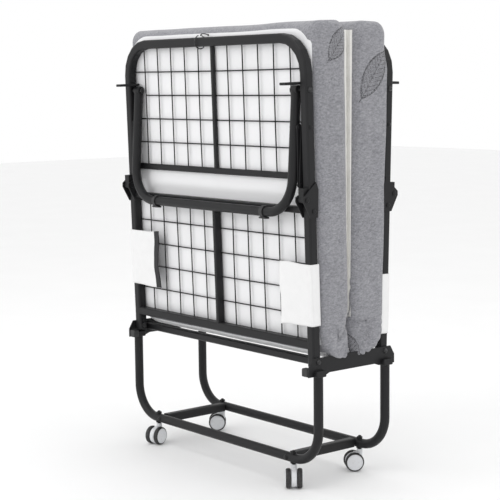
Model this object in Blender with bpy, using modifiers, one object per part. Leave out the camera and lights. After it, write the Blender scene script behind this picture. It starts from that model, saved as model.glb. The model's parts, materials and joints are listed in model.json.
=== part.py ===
# Folding rollaway bed, folded upright: two hinged bed halves with swing-out legs on a wheeled base.
# X is the bed's width, Y its folded depth (front half at -Y), Z is up. The floor is Z = 0.
import math

import bmesh
import bpy
from mathutils import Matrix, Vector

# Frame, in metres
BED_WIDTH = 0.790          # over the side tubes
HALF_LENGTH = 0.830        # main pivot to the top of the folded half
TUBE = 0.025               # side tubes, crossbars and round tubes
TUBE_CORNER = 0.005        # corner radius of the square tube
BEND_RADIUS = 0.088        # centre line of every bent tube
PIVOT_HEIGHT = 0.343
PIVOT_DEPTH = 0.1185       # half the distance between the two main pivots
LEAN = math.radians(1.7)   # each folded half leans out by this
STUB = 0.0125              # side tube below its pivot
JOINT_HEIGHT = 0.415       # where the upper and lower sections butt
CROSS_A = (0.4625, 0.479)  # cross tube spans, up from the main pivot
CROSS_B = (0.379, 0.395)
CROSS_C = (0.032, 0.0545)
BAR_WIDTH = 0.012          # centre bar
GAP = 0.0003               # between touching pieces

# Wire mesh
WIRE = 0.0035
COLUMN_PITCH = 0.0633
COLUMNS_EACH_SIDE = 5
ROW_PITCH = 0.0665
UPPER_ROWS = 4
LOWER_ROWS = 4

# Swing-out leg and its folding brace
LEG_PIVOT = 0.688
LEG_LENGTH = 0.311
LEG_HALF_WIDTH = 0.343
LEG_LEAN = math.radians(5.2)
BRACE_ARM = 0.093          # leg pivot to each brace pivot
BRACE_LENGTH = 0.145
BRACE_WIDTH = 0.016
BRACE_THICKNESS = 0.003
BRACE_OUTER_X = 0.3655     # middle of the bar beside the side tube
BRACE_INNER_X = 0.3605     # middle of the bar beside the leg
KNEE_HOLE = 0.0053         # the open knee pivot's clearance radius
PEG_LENGTH = 0.047
GLIDE_X = 0.237

# Fasteners
BOLT = 0.0035
BOLT_CLEAR = 0.0005
HEAD = 0.0068
HEAD_THICK = 0.0042
RIVET_FLAT = 0.0005        # heads between the two brace bars

# Base
LEG_X = 0.398
RAIL_HEIGHT = 0.0755
CROSSBAR_X = 0.283
LEG_TOP = 0.0372           # below the pivot
PLATE_THICK = 0.0035
RAIL_D = 0.020             # square cross rails between the side plates
RAIL_D_Y = 0.0855
RAIL_D_DROP = 0.0075       # their middle, below the pivot

# Casters
STEM_X = 0.301
WHEEL_RADIUS = 0.026
WHEEL_WIDTH = 0.0145
CASTER_BODY = 0.0155
TRAIL = 0.016
SWIVELS = {"front_left": 287.0, "front_right": 320.0, "back_left": 231.0, "back_right": 236.0}

# Mattress and straps
MATTRESS_WIDTH = 0.790
MATTRESS_TOP = 0.850
MATTRESS_BOTTOM = 0.064
STRAP_THICK = 0.002
STRAP_HEIGHT = 0.158
STRAP_LEVELS = {"front": {"left": 0.205, "right": 0.172}, "back": {"left": 0.125, "right": 0.180}}

HANDS = {"left": -1, "right": 1}
WIRE_SIDES = 4
SIDE_X = BED_WIDTH / 2 - TUBE / 2
CROSS_DEEP = TUBE / 2 - 0.0005       # half the depth of the cross tubes
CROSS_A_FRONT = 0.0005               # the upper cross tube is set back, clear of the stowed leg and braces
BAR_DEEP = TUBE / 2 - 0.0012         # half the depth of the centre bars
UPRIGHT_WIRE_Y = 0.0057
CROSS_WIRE_Y = UPRIGHT_WIRE_Y + WIRE - 0.0007
BEND_FLAT = 0.0016           # room for the flats that a bend is drawn with
LUG_HALF_WIDTH = 0.0105
PLATE_THIN = 0.003
HINGE_Y = -TUBE / 2 - 0.009          # section hinge bolt, outside the tube's outer face
PLATE_BOLT = JOINT_HEIGHT - 0.030
BRACE_PIVOT = LEG_PIVOT - BRACE_ARM
HOUSING_TOP = RAIL_HEIGHT - TUBE / 2 - 0.0042
STEM_END = HOUSING_TOP - 0.010
ROUND_SIDES = 12
BOLT_SIDES = 8


def clear_scene():
    for obj in list(bpy.data.objects):
        bpy.data.objects.remove(obj)


def new_collection(name):
    collection = bpy.data.collections.new(name)
    bpy.context.scene.collection.children.link(collection)
    return collection


def new_material(name, colour, roughness, metallic):
    material = bpy.data.materials.new(name)
    material.use_nodes = True
    shader = material.node_tree.nodes["Principled BSDF"]
    shader.inputs["Base Color"].default_value = (*colour, 1.0)
    shader.inputs["Roughness"].default_value = roughness
    shader.inputs["Metallic"].default_value = metallic
    material.diffuse_color = (*colour, 1.0)
    return material


clear_scene()
PARTS = new_collection("rollaway_bed")
CUTTERS = new_collection("cutters")
BLACK = new_material("black_powder_coat", (0.020, 0.020, 0.021), 0.42, 0.0)
PLASTIC = new_material("black_plastic", (0.015, 0.015, 0.016), 0.50, 0.0)
CASTER_GREY = new_material("caster_grey_plastic", (0.72, 0.73, 0.74), 0.35, 0.0)
KNIT = new_material("grey_knit", (0.26, 0.26, 0.29), 0.95, 0.0)
WHITE = new_material("white_webbing", (0.80, 0.80, 0.80), 0.90, 0.0)


def empty(name, location=(0, 0, 0), turn=None, parent=None):
    frame = bpy.data.objects.new(name, None)
    frame.empty_display_size = 0.03
    matrix = Matrix.Translation(location)
    if turn:
        matrix = matrix @ Matrix.Rotation(turn[1], 4, turn[0])
    frame.matrix_basis = matrix
    frame.parent = parent
    PARTS.objects.link(frame)
    return frame


def mesh_object(name, bm):
    mesh = bpy.data.meshes.new(name)
    bm.to_mesh(mesh)
    bm.free()
    obj = bpy.data.objects.new(name, mesh)
    PARTS.objects.link(obj)
    return obj


def finish(obj, name, material, parent=None):
    obj.name = name
    obj.data.name = name
    obj.data.materials.clear()
    obj.data.materials.append(material)
    obj.data.shade_smooth()
    obj.data.set_sharp_from_angle(angle=math.radians(35))
    obj.parent = parent
    return obj


def block(low, high, bevel=0.0):
    """A box between two corners, with its edges rounded when bevel is given."""
    low, high = Vector(low), Vector(high)
    bm = bmesh.new()
    place = Matrix.Translation((low + high) / 2) @ Matrix.Diagonal((*(high - low), 1.0))
    bmesh.ops.create_cube(bm, size=1.0, matrix=place)
    if bevel:
        bmesh.ops.bevel(bm, geom=bm.edges[:], offset=bevel, segments=1, profile=0.5, affect="EDGES")
    return mesh_object("block", bm)


def rod(start, end, radius, sides=BOLT_SIDES):
    """A round bar between two points."""
    start, end = Vector(start), Vector(end)
    along = end - start
    place = Matrix.Translation((start + end) / 2) @ along.to_track_quat("Z", "Y").to_matrix().to_4x4()
    bm = bmesh.new()
    bmesh.ops.create_cone(
        bm, cap_ends=True, segments=sides, radius1=radius, radius2=radius, depth=along.length, matrix=place
    )
    return mesh_object("rod", bm)


def bake(obj):
    """Turns the evaluated shape into a plain mesh with welded caps."""
    graph = bpy.context.evaluated_depsgraph_get()
    mesh = bpy.data.meshes.new_from_object(obj.evaluated_get(graph))
    bm = bmesh.new()
    bm.from_mesh(mesh)
    bmesh.ops.remove_doubles(bm, verts=bm.verts, dist=0.000002)
    bmesh.ops.recalc_face_normals(bm, faces=bm.faces)
    solid = mesh_object(obj.name, bm)
    solid.matrix_world = obj.matrix_world
    bpy.data.objects.remove(obj)
    return solid


def group(solids):
    """Several separate solids as one object."""
    bm = bmesh.new()
    for solid in solids:
        bm.from_mesh(solid.data)
        bpy.data.objects.remove(solid)
    return mesh_object("group", bm)


def boolean(target, tool, operation):
    modifier = target.modifiers.new(operation.lower(), "BOOLEAN")
    modifier.operation = operation
    modifier.object = tool
    return modifier


def fuse(solids):
    """Overlapping solids joined into one body."""
    target = solids[0]
    for tool in solids[1:]:
        boolean(target, tool, "UNION")
    joined = bake(target)
    for tool in solids[1:]:
        bpy.data.objects.remove(tool)
    return joined


def drill(target, holes, parent=None):
    """Cuts round holes, each given as (start, end, radius)."""
    cutter = group([rod(*hole) for hole in holes])
    cutter.name = target.name + "_holes"
    PARTS.objects.unlink(cutter)
    CUTTERS.objects.link(cutter)
    cutter.display_type = "WIRE"
    cutter.hide_render = True
    cutter.parent = parent
    boolean(target, cutter, "DIFFERENCE")


def rounded_path(corners, radius, steps=5):
    """A line of points through the corners, each inner corner replaced by an arc."""
    corners = [Vector(corner) for corner in corners]
    path = [corners[0]]
    for before, corner, after in zip(corners, corners[1:], corners[2:]):
        back = (before - corner).normalized()
        ahead = (after - corner).normalized()
        half = back.angle(ahead) / 2
        reach = radius / math.tan(half)
        centre = corner + (back + ahead).normalized() * radius / math.sin(half)
        start = corner + back * reach - centre
        end = corner + ahead * reach - centre
        sweep = start.angle(end)
        for step in range(steps + 1):
            share = step / steps
            weight = (math.sin((1 - share) * sweep), math.sin(share * sweep))
            path.append(centre + (start * weight[0] + end * weight[1]) / math.sin(sweep))
    path.append(corners[-1])
    return path


def spline_curve(name, points, cyclic=False):
    curve = bpy.data.curves.new(name, "CURVE")
    curve.dimensions = "3D"
    curve.use_fill_caps = True
    spline = curve.splines.new("POLY")
    spline.points.add(len(points) - 1)
    for point, place in zip(spline.points, points):
        point.co = (*place, 1.0)
    spline.use_cyclic_u = cyclic
    obj = bpy.data.objects.new(name, curve)
    PARTS.objects.link(obj)
    return obj


def round_tube(points, radius, resolution=3):
    tube = spline_curve("tube", points)
    tube.data.bevel_depth = radius
    tube.data.bevel_resolution = resolution
    return bake(tube)


def square_profile(width, corner):
    """The rounded square that the square tube is drawn from."""
    half = width / 2 - corner
    points = []
    for quarter in range(4):
        angle = quarter * math.pi / 2
        centre = Matrix.Rotation(angle, 3, "Z") @ Vector((half, half, 0))
        for step in range(3):
            turn = angle + step * math.pi / 4
            points.append(centre + corner * Vector((math.cos(turn), math.sin(turn), 0)))
    profile = spline_curve("square_tube_section", points, cyclic=True)
    profile.data.dimensions = "2D"
    profile.data.fill_mode = "NONE"
    PARTS.objects.unlink(profile)
    CUTTERS.objects.link(profile)
    profile.hide_render = True
    profile.display_type = "WIRE"
    return profile


SECTION = square_profile(TUBE, TUBE_CORNER)


def square_tube(points):
    tube = spline_curve("tube", points)
    tube.data.bevel_mode = "OBJECT"
    tube.data.bevel_object = SECTION
    return bake(tube)


def circle(centre, radius, sides=BOLT_SIDES):
    turns = [2 * math.pi * side / sides for side in range(sides)]
    return [(centre[0] + radius * math.cos(t), centre[1] + radius * math.sin(t)) for t in turns]


def slot_outline(first, second, radius, sides=8):
    """The outline of a flat bar with round ends."""
    first, second = Vector(first), Vector(second)
    angle = math.atan2(*(second - first).yx)
    points = []
    for centre, start in ((second, angle - math.pi / 2), (first, angle + math.pi / 2)):
        for side in range(sides + 1):
            turn = start + math.pi * side / sides
            points.append(tuple(centre + radius * Vector((math.cos(turn), math.sin(turn)))))
    return points


def side_plate(outlines, middle, thickness):
    """Flat outlines in the YZ plane, the first one solid and the rest holes, thickened along X."""
    curve = bpy.data.curves.new("plate", "CURVE")
    curve.dimensions = "2D"
    curve.fill_mode = "BOTH"
    curve.extrude = thickness / 2
    for outline in outlines:
        spline = curve.splines.new("POLY")
        spline.points.add(len(outline) - 1)
        for point, place in zip(spline.points, outline):
            point.co = (place[0], place[1], 0.0, 1.0)
        spline.use_cyclic_u = True
    obj = bpy.data.objects.new("plate", curve)
    PARTS.objects.link(obj)
    solid = bake(obj)
    to_yz = Matrix(((0, 0, 1, middle), (1, 0, 0, 0), (0, 1, 0, 0), (0, 0, 0, 1)))
    solid.data.transform(to_yz)
    return solid


def turned(profile, sides):
    """A profile of (radius, height) points, listed top to bottom, turned about Z."""
    bm = bmesh.new()
    corners = [bm.verts.new((radius, 0.0, height)) for radius, height in profile]
    for first, second in zip(corners, corners[1:]):
        bm.edges.new((first, second))
    obj = mesh_object("turned", bm)
    screw = obj.modifiers.new("screw", "SCREW")
    screw.steps = sides
    screw.render_steps = sides
    screw.use_merge_vertices = True
    screw.merge_threshold = 0.00005
    return bake(obj)


# Bed halves. Each is drawn upright from its main pivot, with its outer face at -Y.


def mesh_rows(top, rows):
    """Heights of the crosswise wires below a cross tube."""
    return [top - ROW_PITCH * (0.97 + row) for row in range(rows)]


def wire_holes(rows):
    """Clearance through the centre bar for the crosswise wires."""
    return [((-0.02, CROSS_WIRE_Y, z), (0.02, CROSS_WIRE_Y, z), WIRE / 2 + GAP, WIRE_SIDES) for z in rows]


def bolt_holes(inset, places):
    """Clearance holes through both side tubes, at each (y, z)."""
    outer = BED_WIDTH / 2 + 0.01
    radius = BOLT + BOLT_CLEAR
    return [((x * (outer - inset), y, z), (x * outer, y, z), radius, BOLT_SIDES) for x in (1, -1) for y, z in places]


def upper_frame(side, half):
    """Bent hoop, cross tube and centre bar, with hinge lugs, leg stop pegs and brace rivets fixed to it."""
    top = HALF_LENGTH - TUBE / 2
    bottom = JOINT_HEIGHT + GAP
    solids = [
        square_tube(rounded_path(
            [(-SIDE_X, 0, bottom), (-SIDE_X, 0, top), (SIDE_X, 0, top), (SIDE_X, 0, bottom)], BEND_RADIUS
        )),
        block((-SIDE_X, CROSS_A_FRONT, CROSS_A[0]), (SIDE_X, CROSS_DEEP, CROSS_A[1]), 0.003),
        block((-BAR_WIDTH / 2, CROSS_A_FRONT + 0.0007, CROSS_A[0] + 0.008), (BAR_WIDTH / 2, BAR_DEEP, top), 0.002),
    ]
    for x in (1, -1):
        solids += hinge_lug(x) + [stop_peg(x), brace_rivet(x)]
    frame = fuse(solids)
    finish(frame, side + "_upper_frame", BLACK, half)
    drill(frame, bolt_holes(0.05, [(0, LEG_PIVOT), (HINGE_Y, JOINT_HEIGHT)])
          + wire_holes(mesh_rows(HALF_LENGTH - TUBE, UPPER_ROWS)), half)


def hinge_lug(side):
    """An eye welded to the outer face of the side tube, between the lower section's plates."""
    low, high = side * SIDE_X - LUG_HALF_WIDTH, side * SIDE_X + LUG_HALF_WIDTH
    eye = rod((low, HINGE_Y, JOINT_HEIGHT), (high, HINGE_Y, JOINT_HEIGHT), 0.0083, ROUND_SIDES)
    foot = block((low + 0.001, HINGE_Y - 0.007, JOINT_HEIGHT + 0.002), (high - 0.001, -0.010, JOINT_HEIGHT + 0.030))
    return [eye, foot]


def stop_peg(side):
    """A flat peg inside the side tube, just above the leg pivot, that the open leg bears on."""
    low = LEG_PIVOT + TUBE / 2 + 0.0006
    middle = side * (SIDE_X - TUBE / 2 - 0.0108)
    return block((middle - 0.0118, -TUBE / 2 - PEG_LENGTH, low), (middle + 0.0118, 0.008, low + 0.007), 0.0015)


def brace_rivet(side):
    """Carries the upper brace bar, with a collar against the side tube."""
    face = BED_WIDTH / 2 - GAP
    collar = SIDE_X - TUBE / 2 + GAP
    bar_outside = BRACE_OUTER_X + BRACE_THICKNESS / 2 + GAP
    bar_inside = BRACE_OUTER_X - BRACE_THICKNESS / 2 - GAP
    return turned_pin(side, 0, BRACE_PIVOT, [
        (0, face + 0.0034), (0.0035, face + 0.0030), (0.0060, face + 0.0014), (0.0060, face), (BOLT, face),
        (BOLT, collar), (0.0065, collar), (0.0065, bar_outside), (BOLT, bar_outside), (BOLT, bar_inside),
        (0.0058, bar_inside), (0.0058, bar_inside - RIVET_FLAT), (0, bar_inside - RIVET_FLAT)
    ])


def lower_frame(side, half):
    """Side tubes, two cross tubes and a centre bar, with the bolted hinge plates at the top."""
    solids = [square_tube([(x, 0, -STUB), (x, 0, JOINT_HEIGHT - GAP)]) for x in (-SIDE_X, SIDE_X)]
    solids += [block((-SIDE_X, -CROSS_DEEP, z[0]), (SIDE_X, CROSS_DEEP, z[1]), 0.003) for z in (CROSS_B, CROSS_C)]
    solids.append(block(
        (-BAR_WIDTH / 2, -BAR_DEEP, CROSS_C[1] - 0.008), (BAR_WIDTH / 2, BAR_DEEP, CROSS_B[0] + 0.008), 0.002
    ))
    for x in (1, -1):
        solids += hinge_plates(x)
    frame = fuse(solids)
    finish(frame, side + "_lower_frame", BLACK, half)
    drill(frame, bolt_holes(0.05, [(0, 0)]) + wire_holes(mesh_rows(CROSS_B[0], LOWER_ROWS)), half)


def hinge_plates(side):
    """Kite-shaped plates on both faces of a side tube, held by one bolt and hinged on the other."""
    z = JOINT_HEIGHT
    lower_edge = [(-0.034, z + 0.007), (-0.0345, z - 0.004), (-0.0125, z - 0.046), (0.0125, z - 0.046)]
    outer_edge = [(0.0165, z + 0.024), (0.010, z + 0.044), *lower_edge]
    inner_edge = [(0.0120, z + 0.018), (0.006, z + 0.026), *lower_edge]
    reach = TUBE / 2 + GAP + PLATE_THIN / 2
    plates = [side_plate([edge], side * (SIDE_X + out * reach), PLATE_THIN)
              for out, edge in ((1, outer_edge), (-1, inner_edge))]
    outer = SIDE_X + TUBE / 2 + PLATE_THIN - GAP
    inner = SIDE_X - TUBE / 2 - PLATE_THIN + 2 * GAP
    return plates + [through_bolt(side, y, height, outer, inner) for y, height in ((HINGE_Y, z), (0, PLATE_BOLT))]


def turned_pin(side, y, z, profile, sides=BOLT_SIDES):
    """A pin along X from a profile of (radius, distance from the middle), outer end first. side is 1 or -1."""
    pin = turned(profile, sides)
    pin.data.transform(Matrix.Translation((0, y, z)) @ Matrix.Rotation(side * math.pi / 2, 4, "Y"))
    return pin


def through_bolt(side, y, z, outer, inner):
    """A bolt with a domed head on the outer face and a hexagonal nut on the inner one."""
    face = outer + GAP
    bolt = turned_pin(side, y, z, [
        (0, face + HEAD_THICK), (0.004, face + HEAD_THICK * 0.9), (HEAD, face + HEAD_THICK * 0.45), (HEAD, face),
        (BOLT, face), (BOLT, inner - 0.0065), (0, inner - 0.0065)
    ])
    nut = rod((side * (inner - 0.0055), y, z), (side * (inner - GAP), y, z), HEAD, 6)
    return fuse([bolt, nut])


def leg_bolts(side, half):
    inner = LEG_HALF_WIDTH - TUBE / 2
    for hand, x in HANDS.items():
        bolt = through_bolt(x, 0, LEG_PIVOT, BED_WIDTH / 2, inner)
        finish(bolt, f"{side}_leg_bolt_{hand}", BLACK, half)


def inside_hoop(along, bend_start, straight):
    """How far a wire runs before it meets the hoop, at a place along the other axis."""
    into_bend = abs(along) + WIRE / 2 - bend_start
    if into_bend <= 0:
        return straight - GAP
    inner_radius = BEND_RADIUS - TUBE / 2
    return straight - inner_radius + math.sqrt(inner_radius ** 2 - into_bend ** 2) - BEND_FLAT


def wire_mesh(name, half, low, high, rows, short_row=None):
    """Upright wires welded across crosswise ones, between two cross tubes. One row may stop at the last uprights."""
    bend_x = SIDE_X - BEND_RADIUS
    bend_z = HALF_LENGTH - TUBE / 2 - BEND_RADIUS
    columns = [x * column * COLUMN_PITCH for column in range(1, COLUMNS_EACH_SIDE + 1) for x in (-1, 1)]
    short = COLUMNS_EACH_SIDE * COLUMN_PITCH
    reaches = [short if z == short_row else inside_hoop(z, bend_z, SIDE_X - TUBE / 2) for z in rows]
    wires = [rod((-reach, CROSS_WIRE_Y, z), (reach, CROSS_WIRE_Y, z), WIRE / 2, WIRE_SIDES)
             for reach, z in zip(reaches, rows)]
    for x in columns:
        top = inside_hoop(x, bend_x, high) if high > bend_z else high - GAP
        wires.append(rod((x, UPRIGHT_WIRE_Y, low + GAP), (x, UPRIGHT_WIRE_Y, top), WIRE / 2, WIRE_SIDES))
    finish(fuse(wires), name, BLACK, half)


def swing_leg(side, leg_frame):
    """A bent U tube hanging from the leg pivot, drawn from that pivot, with the lower brace rivets."""
    hoop = round_tube(rounded_path(
        [(-LEG_HALF_WIDTH, 0, 0), (-LEG_HALF_WIDTH, 0, -LEG_LENGTH), (LEG_HALF_WIDTH, 0, -LEG_LENGTH),
         (LEG_HALF_WIDTH, 0, 0)], BEND_RADIUS), TUBE / 2)
    solids = [hoop]
    for x in (1, -1):
        eye = rod((x * LEG_HALF_WIDTH - TUBE / 2, 0, 0), (x * LEG_HALF_WIDTH + TUBE / 2, 0, 0), 0.0122, ROUND_SIDES)
        solids += [eye, leg_rivet(x)]
    leg = fuse(solids)
    finish(leg, side + "_leg", BLACK, leg_frame)
    reach = LEG_HALF_WIDTH + 0.02
    drill(leg, [((x * (reach - 0.04), 0, 0), (x * reach, 0, 0), BOLT + BOLT_CLEAR, BOLT_SIDES) for x in (1, -1)],
          leg_frame)


def leg_rivet(side):
    """Carries the lower brace bar on the outside of a leg arm."""
    bar_outside = BRACE_INNER_X + BRACE_THICKNESS / 2 + GAP
    bar_inside = BRACE_INNER_X - BRACE_THICKNESS / 2 - GAP
    arm_outside = LEG_HALF_WIDTH + TUBE / 2 - 0.001
    arm_inside = LEG_HALF_WIDTH - TUBE / 2 + 0.001
    return turned_pin(side, 0, -BRACE_ARM, [
        (0, bar_outside + RIVET_FLAT), (0.0058, bar_outside + RIVET_FLAT), (0.0058, bar_outside), (BOLT, bar_outside),
        (BOLT, bar_inside), (0.0062, bar_inside), (0.0062, arm_outside), (BOLT, arm_outside), (BOLT, arm_inside),
        (0.0062, arm_inside), (0.0055, arm_inside - 0.0030), (0, arm_inside - 0.0034)
    ])


def leg_glides(side, leg_frame):
    """Plastic foot clips round the leg's end bar, each with a flat pad on its far side."""
    for hand, sign in HANDS.items():
        x = sign * GLIDE_X
        ring = rod((x - 0.007, 0, -LEG_LENGTH), (x + 0.007, 0, -LEG_LENGTH), TUBE / 2 + 0.003, ROUND_SIDES)
        pad = block((x - 0.013, -0.0085, -LEG_LENGTH - TUBE / 2 - 0.006),
                    (x + 0.013, 0.0085, -LEG_LENGTH - TUBE / 2 + 0.002), 0.0015)
        glide = fuse([ring, pad])
        finish(glide, f"{side}_leg_glide_{hand}", PLASTIC, leg_frame)
        drill(glide, [((x - 0.03, 0, -LEG_LENGTH), (x + 0.03, 0, -LEG_LENGTH), TUBE / 2 + 0.0008, ROUND_SIDES)],
              leg_frame)


def brace_bar(x, knee_hole=None):
    """A flat bar with round ends, drawn from its upper pivot down to the knee."""
    ends = ((0, 0), (0, -BRACE_LENGTH))
    outlines = [slot_outline(*ends, BRACE_WIDTH / 2), circle(ends[0], BOLT + BOLT_CLEAR)]
    if knee_hole:
        outlines.append(circle(ends[1], knee_hole, 16))
    return side_plate(outlines, x, BRACE_THICKNESS)


def knee_pin(side):
    """Headed pin fixed in the upper brace bar, loose in the lower one."""
    outer = BRACE_OUTER_X + BRACE_THICKNESS / 2 - GAP
    inner = BRACE_INNER_X - BRACE_THICKNESS / 2 - GAP
    return turned_pin(side, 0, -BRACE_LENGTH, [
        (0, outer + 0.0018), (0.0065, outer + 0.0018), (0.0065, outer), (0.0026, outer), (0.0026, inner),
        (0.0080, inner), (0.0080, inner - 0.0013), (0, inner - 0.0013)
    ])


def braces(side, half, leg_frame):
    """The folding brace on each side: an upper bar from the side tube and a lower bar from the leg."""
    spread = LEG_LEAN / 2
    turn = spread + math.asin(BRACE_ARM / BRACE_LENGTH * math.sin(spread))
    upper = empty(side + "_brace_pivot", (0, 0, BRACE_PIVOT), ("X", -turn), half)
    lower = empty(side + "_rivet_pivot", (0, 0, -BRACE_ARM), ("X", turn), leg_frame)
    for hand, x in HANDS.items():
        finish(fuse([brace_bar(x * BRACE_OUTER_X), knee_pin(x)]), f"{side}_brace_upper_{hand}", BLACK, upper)
        finish(brace_bar(x * BRACE_INNER_X, KNEE_HOLE), f"{side}_brace_lower_{hand}", BLACK, lower)


def mattress_half(side, half):
    """A slab behind the frame, a little thicker at its top, clear of the latch hook's ring."""
    skin = TUBE / 2 + 0.0012
    notch = 0.0225
    outline = [(skin, MATTRESS_BOTTOM), (0.098, MATTRESS_BOTTOM), (0.130, MATTRESS_TOP - 0.030),
               (0.105, MATTRESS_TOP), (notch + 0.012, MATTRESS_TOP), (notch, MATTRESS_TOP - 0.012),
               (notch, HALF_LENGTH - 0.038), (skin, HALF_LENGTH - 0.050)]
    slab = side_plate([outline], 0.0, MATTRESS_WIDTH)
    finish(slab, side + "_mattress", KNIT, half)


def strap(side, half, hand, level):
    """A wide band folded round a side tube, from the mesh to the mattress side."""
    x = HANDS[hand]
    face = TUBE / 2 + 0.0006
    outer = BED_WIDTH / 2 + 0.0006
    inner = outer - 0.118
    thick = STRAP_THICK
    outline = [(x * inner, -face - thick), (x * (outer + thick), -face - thick), (x * (outer + thick), 0.006),
               (x * outer, 0.006), (x * outer, -face), (x * inner, -face)]
    if x < 0:
        outline.reverse()
    curve = bpy.data.curves.new("strap", "CURVE")
    curve.dimensions = "2D"
    curve.fill_mode = "BOTH"
    curve.extrude = STRAP_HEIGHT / 2
    spline = curve.splines.new("POLY")
    spline.points.add(len(outline) - 1)
    for point, place in zip(spline.points, outline):
        point.co = (place[0], place[1], 0.0, 1.0)
    spline.use_cyclic_u = True
    obj = bpy.data.objects.new("strap", curve)
    PARTS.objects.link(obj)
    band = bake(obj)
    band.data.transform(Matrix.Translation((0, 0, level)))
    finish(band, f"{side}_strap_{hand}", WHITE, half)


def latch_hook(half):
    """A wire ring round the top tube with a short hooked tail lying along it."""
    ring_radius = 0.0185
    tail = 0.036
    x = -0.045
    turns = [math.radians(90 - 340 * step / 14) for step in range(15)]
    points = [(x, ring_radius * math.cos(turn), ring_radius * math.sin(turn)) for turn in turns]
    first = Vector(points[0])
    lead = [first + Vector((tail, 0, 0.0)), first + Vector((tail * 0.5, 0, 0.0035)), first + Vector((0.006, 0, 0.002))]
    hook = round_tube([*lead, *points], 0.0014, 1)
    frame = empty("latch_axis", (0, 0, HALF_LENGTH - TUBE / 2), None, half)
    finish(hook, "latch_hook", BLACK, frame)


def bed_half(side):
    """All of one half, from its main pivot's empty. The back half is the front one turned round."""
    facing = -1 if side == "front" else 1
    half = bpy.data.objects.new(side + "_half_pivot", None)
    half.rotation_euler = (LEAN, 0, 0 if side == "front" else math.pi)
    half.location = (0, facing * PIVOT_DEPTH, PIVOT_HEIGHT)
    PARTS.objects.link(half)
    upper_frame(side, half)
    lower_frame(side, half)
    top = HALF_LENGTH - TUBE
    upper_rows = mesh_rows(top, UPPER_ROWS)
    wire_mesh(side + "_upper_mesh", half, CROSS_A[1], top, upper_rows, upper_rows[1])
    wire_mesh(side + "_lower_mesh", half, CROSS_C[1], CROSS_B[0], mesh_rows(CROSS_B[0], LOWER_ROWS))
    leg_bolts(side, half)
    mattress_half(side, half)
    for hand in HANDS:
        strap(side, half, hand, STRAP_LEVELS[side][hand])
    leg_frame = empty(side + "_leg_pivot", (0, 0, LEG_PIVOT), ("X", -LEG_LEAN), half)
    swing_leg(side, leg_frame)
    leg_glides(side, leg_frame)
    braces(side, half, leg_frame)
    return half


# Base


def base_hoop(name, facing):
    """A bent hoop, open at the top, with the crossbar bolts and caster stems fixed in its rail."""
    y = facing * PIVOT_DEPTH
    top = PIVOT_HEIGHT - LEG_TOP
    hoop = round_tube(rounded_path(
        [(-LEG_X, y, top), (-LEG_X, y, RAIL_HEIGHT), (LEG_X, y, RAIL_HEIGHT), (LEG_X, y, top)], BEND_RADIUS
    ), TUBE / 2)
    solids = [hoop]
    for x in (1, -1):
        solids += [crossbar_bolt(x * CROSSBAR_X, facing), caster_stem(x * STEM_X, y)]
    finish(fuse(solids), name, BLACK)


def crossbar_bolt(x, facing):
    """Goes through the hoop's rail into the crossbar's end."""
    face = PIVOT_DEPTH + TUBE / 2 - 0.0008
    bolt = turned([(0, face + 0.0048), (0.0040, face + 0.0045), (HEAD, face + 0.0026), (HEAD, face), (BOLT, face),
                   (BOLT, face - 0.040), (0, face - 0.040)], BOLT_SIDES)
    turn = Matrix.Rotation(-facing * math.pi / 2, 4, "X")
    bolt.data.transform(Matrix.Translation((x, 0, RAIL_HEIGHT)) @ turn)
    return bolt


def caster_stem(x, y):
    """Threaded stem with a hexagonal nut on top of the rail and a collar under it."""
    top = RAIL_HEIGHT + TUBE / 2
    under = RAIL_HEIGHT - TUBE / 2
    nut = rod((x, y, top - 0.002), (x, y, top + 0.0065), 0.0080, 6)
    stem = turned([(0, top + 0.009), (0.0045, top + 0.008), (0.0045, under + 0.002), (0.0080, under + 0.002),
                   (0.0080, under - 0.0035), (0.0045, under - 0.0035), (0.0045, STEM_END), (0, STEM_END)],
                  BOLT_SIDES)
    stem.data.transform(Matrix.Translation((x, y, 0)))
    return fuse([stem, nut])


def crossbars():
    end = PIVOT_DEPTH - TUBE / 2 - GAP
    for hand, x in (("left", -CROSSBAR_X), ("right", CROSSBAR_X)):
        bar = square_tube([(x, -end, RAIL_HEIGHT), (x, end, RAIL_HEIGHT)])
        finish(bar, "base_crossbar_" + hand, BLACK)
        drill(bar, [((x, side * (end - 0.022), RAIL_HEIGHT), (x, side * (end + 0.01), RAIL_HEIGHT), 0.0040)
                    for side in (1, -1)])


def side_plates():
    """Plates that tie the two hoops together and carry the main pivots, with caps over the hoop ends."""
    z = PIVOT_HEIGHT
    inner = BED_WIDTH / 2 + 0.0007
    for hand, side in (("left", -1), ("right", 1)):
        outline = [(-0.152, z - 0.0355), (-0.095, z - 0.0355), (-0.080, z - 0.030), (0.080, z - 0.030),
                   (0.095, z - 0.0355), (0.152, z - 0.0355), (0.152, z - 0.012), (0.138, z + 0.0115),
                   (-0.138, z + 0.0115), (-0.152, z - 0.012)]
        holes = [circle((y, z), BOLT + BOLT_CLEAR) for y in (-PIVOT_DEPTH, PIVOT_DEPTH)]
        plate = side_plate([outline, *holes], side * (inner + PLATE_THICK / 2), PLATE_THICK)
        solids = [plate]
        for y in (-PIVOT_DEPTH, PIVOT_DEPTH):
            low = (side * LEG_X - 0.0145, y - 0.0165, z - LEG_TOP + GAP)
            high = (side * LEG_X + 0.0145, y + 0.0165, z - 0.0205)
            solids.append(block(low, high, 0.002))
        finish(fuse(solids), "side_plate_" + hand, BLACK)


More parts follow.
